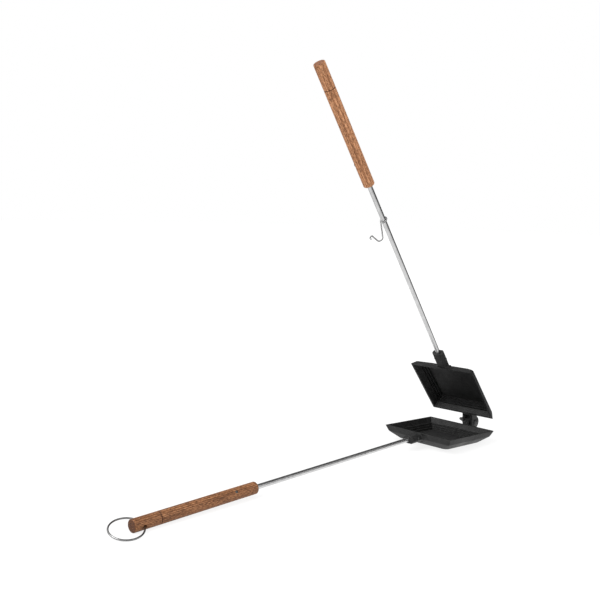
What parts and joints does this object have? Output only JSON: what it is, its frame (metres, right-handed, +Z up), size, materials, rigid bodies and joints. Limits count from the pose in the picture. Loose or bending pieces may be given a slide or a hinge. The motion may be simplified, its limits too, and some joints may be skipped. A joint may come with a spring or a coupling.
{
  "type": "pie iron",
  "caption": "Square hinged pie iron: nesting cast pans on long steel rods with round wooden handles, a wire latch hook and a hanging ring.",
  "frame": {"origin": "centre of the lower pan's flat bottom", "axes": "+X from the handles towards the hinge, +Y along the hinge axis, +Z up as the iron stands open on a table, with the lower handle's end and the hinge-side edge of the pan's bottom both on the table"},
  "size_m": [0.668, 0.118, 0.5215],
  "materials": {
    "cast_iron": "matt black, fine sand-cast grain",
    "rivet_steel": "blackened steel",
    "rod_steel": "dull zinc-plated drawn steel",
    "pin_steel": "blackened steel",
    "handle_wood": "reddish-brown open-grained hardwood, lightly sealed",
    "brad_steel": "plain steel brad",
    "ring_steel": "plated spring wire",
    "hook_steel": "plated wire"
  },
  "bodies": {
    "lower_half": {"lower_pan": "cast_iron", "hinge_rivet": "rivet_steel", "lower_rod": "rod_steel", "lower_socket_pin": "pin_steel", "lower_handle": "handle_wood", "lower_handle_pin": "brad_steel"},
    "upper_half": {"upper_pan": "cast_iron", "upper_rod": "rod_steel", "upper_socket_pin": "pin_steel", "upper_handle": "handle_wood", "upper_handle_pin": "brad_steel"},
    "ring": {"hanging_ring": "ring_steel"},
    "hook": {"latch_hook": "hook_steel"}
  },
  "joints": [
    {"name": "pan_hinge", "type": "hinge", "parent": "lower_half", "child": "upper_half", "pos_m": [0.07841, -0.0045, 0.01729], "axis": [-0.025, 0.9977, 0.0623], "range_deg": [-46, 129]},
    {"name": "ring_swing", "type": "hinge", "parent": "lower_half", "child": "ring", "pos_m": [-0.54092, 0, 0.00569], "axis": [-0.0045, 0.9703, 0.2419], "range_deg": [-161, 170]},
    {"name": "hook_turn", "type": "hinge", "parent": "upper_half", "child": "hook", "pos_m": [-0.1689, -0.01329, 0.33234], "axis": [-0.6089, -0.0328, 0.7926], "continuous": true}
  ]
}
